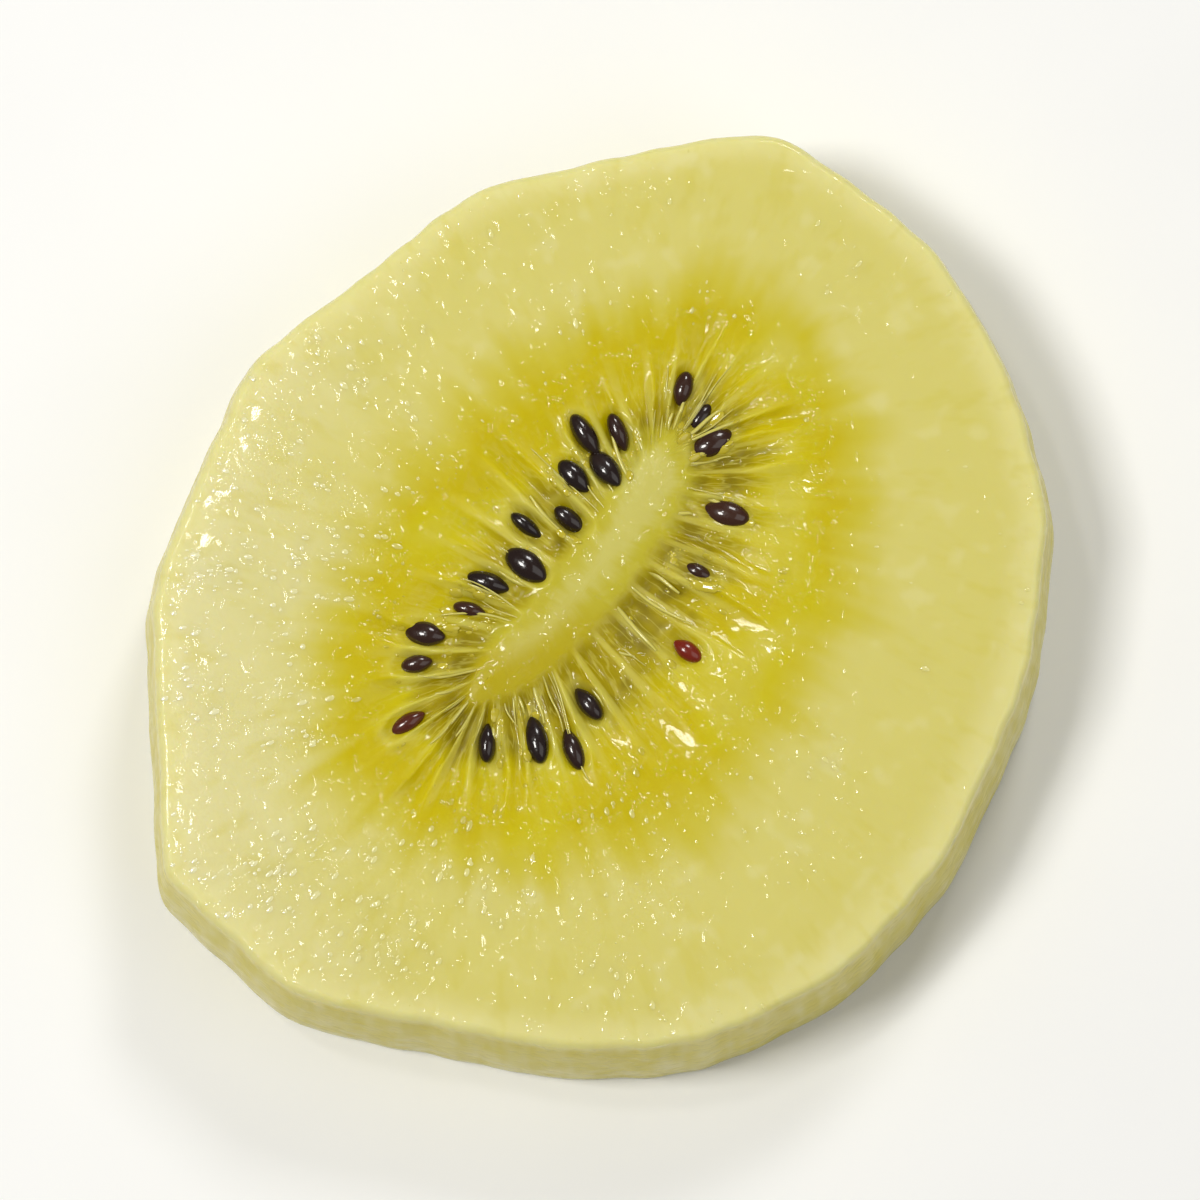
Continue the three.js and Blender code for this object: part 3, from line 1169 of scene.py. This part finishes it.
def juiceTree():
    tree, source = newTree("juiceBeads", {
        "Density": 1.0,
        "Beside Seeds": 0.0,
        "Smallest": 0.0001,
        "Largest": 0.0002,
        "Flatness": 0.2,
        "Stretch": 1.0,
        "Swollen": 0.0,
        "Seed": 0,
    })
    grain = named(tree, "grain", "FLOAT_VECTOR")
    halo = named(tree, "halo")
    overFace, clusters = juiceShare(tree, split(tree, grain)[2], position(tree))
    inCluster = softStep(tree, clusters, *juice["besideClusters"])
    besideSeeds = times(tree, times(tree, halo, inCluster), source["Beside Seeds"])
    share = times(tree, maths(tree, "MAXIMUM", overFace, besideSeeds), named(tree, "upper"))
    spread = node(tree, "GeometryNodeDistributePointsOnFaces", {
        "Mesh": source["Geometry"], "Density": times(tree, share, source["Density"]), "Seed": source["Seed"]})
    along = node(tree, "FunctionNodeAlignRotationToVector", {
        "Rotation": spread.outputs["Rotation"], "Vector": scaled(tree, grain, 1.0, 1.0, 0.0)},
        axis="X", pivot_axis="Z").outputs[0]
    ball = node(tree, "GeometryNodeMeshUVSphere",
                {"Segments": juice["segments"], "Rings": juice["rings"], "Radius": 1.0})
    sunk = node(tree, "GeometryNodeTransform", {"Geometry": ball.outputs[0], "Translation": (0, 0, -0.5)})
    # most are small and a few are large
    draw = node(tree, "FunctionNodeRandomValue", {"Min": 0.0, "Max": 1.0, "Seed": 1}, data_type="FLOAT")
    width = node(tree, "ShaderNodeMapRange", {
        "Value": maths(tree, "POWER", draw.outputs[1], juice["rarity"]),
        "To Min": source["Smallest"], "To Max": source["Largest"]}).outputs["Result"]
    width = times(tree, width, plus(tree, times(tree, halo, source["Swollen"]), 1.0))
    stretch = node(tree, "FunctionNodeRandomValue", {
        "Min": juice["roundest"], "Max": source["Stretch"], "Seed": 2}, data_type="FLOAT")
    size = joined(tree, times(tree, width, stretch.outputs[1]), width, times(tree, width, source["Flatness"]))
    beads = node(tree, "GeometryNodeInstanceOnPoints", {
        "Points": spread.outputs["Points"], "Instance": sunk.outputs[0], "Rotation": along, "Scale": size})
    finishTree(tree, source, beads.outputs[0])
    return tree


def juiceMaterial():
    # a bead shows the flesh under it, on the left with the flesh's painted paler light
    material, tree, drop = newMaterial("kiwiJuice")
    out = split(tree, meshAttribute(tree, "grain", "Vector"))[2]
    x = split(tree, objectPlace(tree))[0]
    colour = blended(tree, softStep(tree, out, *juice["outerStarts"]), juice["onRing"], juice["onOuter"])
    outerLeft = times(tree, softStep(tree, x, *fleshSteps["leftness"]),
                      softStep(tree, out, *juice["leftStarts"]))
    tree.links.new(blended(tree, outerLeft, colour, juice["onPaintedLeft"]), drop.inputs["Base Color"])
    finish(drop, juiceFinish)
    return material


beadsPiece = grownFrom(flesh, juiceTree(), {
    "Density": juice["density"] / mm ** 2,
    "Beside Seeds": juice["besideSeeds"],
    "Smallest": juice["smallest"] * mm,
    "Largest": juice["largest"] * mm,
    "Flatness": juice["flatness"],
    "Stretch": juice["stretch"],
    "Swollen": juice["swollen"],
    "Seed": juice["drawSeed"],
    "Material": juiceMaterial(),
}, "juiceBeads")
print("juice made:", len(beadsPiece.data.polygons), "faces")


# Table and light

table = {
    "halfWidth": 2,
    "pale": linear(249, 249, 247),
    "shade": linear(242, 242, 240),
    "grain": 60.0,
    "shadeShare": (0.3, 0.7, 0.0, 0.25),
    "roughness": 0.55,
}

lights = {
    "key": {"place": (-0.2, -0.01, 0.42), "size": 0.11, "power": 1.08, "colour": (1.0, 0.985, 0.95)},
    "glint": {"place": (-0.12, 0.1, 0.44), "size": 0.03, "power": 0.13, "colour": (1.0, 0.99, 0.96)},
    "fill": {"place": (0.3, -0.1, 0.45), "size": 0.4, "power": 0.5, "colour": (1.0, 0.99, 0.98)},
    "back": {"place": (0.1, 0.3, 0.32), "size": 0.1, "power": 0.5, "colour": (1.0, 1.0, 1.0)},
}
worldStrength = 0.2


def makeFloor():
    reach = table["halfWidth"]
    corners = [(-reach, -reach, 0), (reach, -reach, 0), (reach, reach, 0), (-reach, reach, 0)]
    floor = newObject("floor", corners, [(0, 1, 2, 3)])
    material, tree, surface = newMaterial("paleTable")
    grain = noise(tree, objectPlace(tree), table["grain"], 2.0)
    tint = blended(tree, softStep(tree, grain, *table["shadeShare"]), table["pale"], table["shade"])
    tree.links.new(tint, surface.inputs["Base Color"])
    surface.inputs["Roughness"].default_value = table["roughness"]
    floor.data.materials.append(material)


def makeLight(name, made):
    data = bpy.data.lights.new(name, "AREA")
    data.size = made["size"]
    data.energy = made["power"]
    data.color = made["colour"]
    lamp = bpy.data.objects.new(name, data)
    bpy.context.scene.collection.objects.link(lamp)
    lamp.location = made["place"]
    lamp.rotation_euler = (-Vector(made["place"])).to_track_quat("-Z", "Y").to_euler()


def makeWorld():
    world = bpy.data.worlds.new("studio")
    bpy.context.scene.world = world
    world.use_nodes = True
    backdrop = world.node_tree.nodes["Background"]
    backdrop.inputs["Strength"].default_value = worldStrength
    backdrop.inputs["Color"].default_value = (1, 1, 1, 1)


makeFloor()
for lightName, lightValues in lights.items():
    makeLight(lightName, lightValues)
makeWorld()
bpy.context.scene.view_settings.view_transform = "Standard"
print("table and lights made")


# Remove the helpers, hide the CAD part and attach the pieces to the root body

bpy.data.objects.remove(skinObject)
bpy.data.objects.remove(seedHolder)
bpy.data.objects.remove(filamentHolder)
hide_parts("kiwi_slice")
for piece, slotName in ((flesh, "flesh"), (seedsPiece, "seed"),
                        (filamentPiece, "flesh"), (beadsPiece, "flesh")):
    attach(piece, "root")
